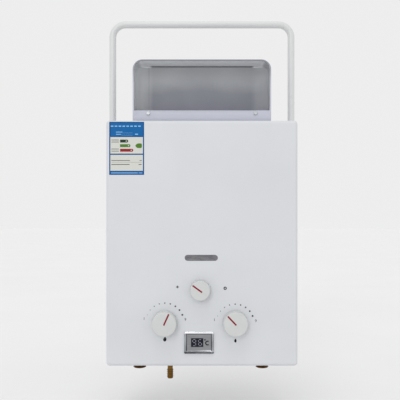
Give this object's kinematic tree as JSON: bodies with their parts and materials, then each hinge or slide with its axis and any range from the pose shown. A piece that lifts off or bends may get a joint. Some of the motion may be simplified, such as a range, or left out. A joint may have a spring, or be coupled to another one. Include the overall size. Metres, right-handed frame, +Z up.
{
  "type": "portable propane water heater",
  "caption": "Flat sheet metal tankless gas water heater with a folding U shaped carry handle, an open fronted rain cap, round control knobs and a small display.",
  "frame": {"origin": "on the wall plane, midway between the centres of the two keyholes' round parts", "axes": "+Z up, +X to the right seen from the front, +Y into the wall, so the front faces -Y"},
  "size_m": [0.3276, 0.148, 0.6038],
  "materials": {
    "case_paint": "smooth light grey powder coat",
    "cap_paint": "satin grey coat",
    "handle_coat": "light grey coat",
    "galvanised": "galvanised sheet",
    "zinc_screw": "zinc plated",
    "copper": "bare copper sheet",
    "water_tube": "bare copper tube, filled with water",
    "burner_steel": "pressed stainless sheet",
    "cast_alloy": "die cast, as cast",
    "brass": "turned",
    "steel": "turned or pressed steel",
    "rubber": "moulded",
    "knob_plastic": "satin light grey moulding",
    "black_plastic": "fine moulding grain",
    "thermostat": "pressed can",
    "ceramic": "glazed ceramic",
    "chrome": "bright plated",
    "display": "clear window over a dark display",
    "mica": "clear mica",
    "cell_wrap": "printed sleeve without words",
    "lead_sleeve": "silicone sleeve"
  },
  "bodies": {
    "heater": {"front_cover": "case_paint", "back_plate": "galvanised", "bottom_plate": "galvanised", "case_screws": "zinc_screw", "sight_glass": "mica", "handle_bolts": "zinc_screw", "handle_bushes": "black_plastic", "rain_cap": "cap_paint", "flue_hood": "galvanised", "combustion_chamber": "copper", "fin_stack": "copper", "fin_tubes": "water_tube", "return_headers": "copper", "chamber_coil": "water_tube", "cold_pipe": "water_tube", "hot_pipe": "water_tube", "pipe_nuts": "brass", "exchanger_brackets": "galvanised", "overheat_thermostat": "thermostat", "burner_frame": "galvanised", "burner_bars": "burner_steel", "gas_manifold": "cast_alloy", "gas_nozzles": "brass", "spark_electrode": "ceramic", "flame_probe": "ceramic", "electrode_bracket": "galvanised", "gas_valve_body": "cast_alloy", "gas_end_cap": "brass", "diaphragm": "rubber", "diaphragm_cover": "cast_alloy", "water_valve_body": "cast_alloy", "diaphragm_screws": "zinc_screw", "solenoid_valve": "zinc_screw", "microswitch": "black_plastic", "switch_bracket": "galvanised", "hot_outlet": "brass", "cold_inlet": "brass", "inlet_strainer": "steel", "gas_inlet_barb": "brass", "drain_plug": "black_plastic", "display_bezel": "chrome", "display_panel": "display", "display_housing": "black_plastic", "battery_box": "black_plastic", "battery_cells": "cell_wrap", "battery_contacts": "steel", "ignition_module": "black_plastic", "ignition_lead": "lead_sleeve"},
    "handle": {"carry_handle": "handle_coat"},
    "gas_control": {"gas_knob": "knob_plastic", "gas_spindle": "steel"},
    "water_control": {"water_knob": "knob_plastic", "water_spindle": "steel"},
    "season_control": {"season_knob": "knob_plastic", "season_spindle": "steel"},
    "linkage": {"linkage_rod": "brass", "diaphragm_plate": "brass", "gas_valve_disc": "rubber"},
    "lever": {"switch_lever": "steel"},
    "battery_door": {"battery_lid": "black_plastic"}
  },
  "joints": [
    {"name": "handle_fold", "type": "hinge", "parent": "heater", "child": "handle", "pos_m": [0, -0.012, 0.003], "axis": [1, 0, 0], "range_deg": [0, 140]},
    {"name": "gas_turn", "type": "hinge", "parent": "heater", "child": "gas_control", "pos_m": [-0.057, -0.128, -0.278], "axis": [0, -1, 0], "range_deg": [-55, 98]},
    {"name": "water_turn", "type": "hinge", "parent": "heater", "child": "water_control", "pos_m": [0.051, -0.128, -0.278], "axis": [0, -1, 0], "range_deg": [-120, 28]},
    {"name": "season_turn", "type": "hinge", "parent": "heater", "child": "season_control", "pos_m": [-0.0027, -0.128, -0.2275], "axis": [0, -1, 0], "range_deg": [-108, 0]},
    {"name": "lid_hinge", "type": "hinge", "parent": "heater", "child": "battery_door", "pos_m": [0.016, -0.0479, -0.3474], "axis": [-1, 0, 0], "range_deg": [0, 100]},
    {"name": "linkage_slide", "type": "slide", "parent": "heater", "child": "linkage", "axis": [-1, 0, 0], "range_m": [0, 0.003], "stiffness_N_per_m": 200},
    {"name": "lever_turn", "type": "hinge", "parent": "heater", "child": "lever", "pos_m": [-0.009, -0.08, -0.266], "axis": [0, 1, 0], "range_deg": [0, 28]}
  ],
  "couplings": [
    {"joint": "lever_turn", "follows": "linkage_slide", "rad_per_m": 160}
  ]
}
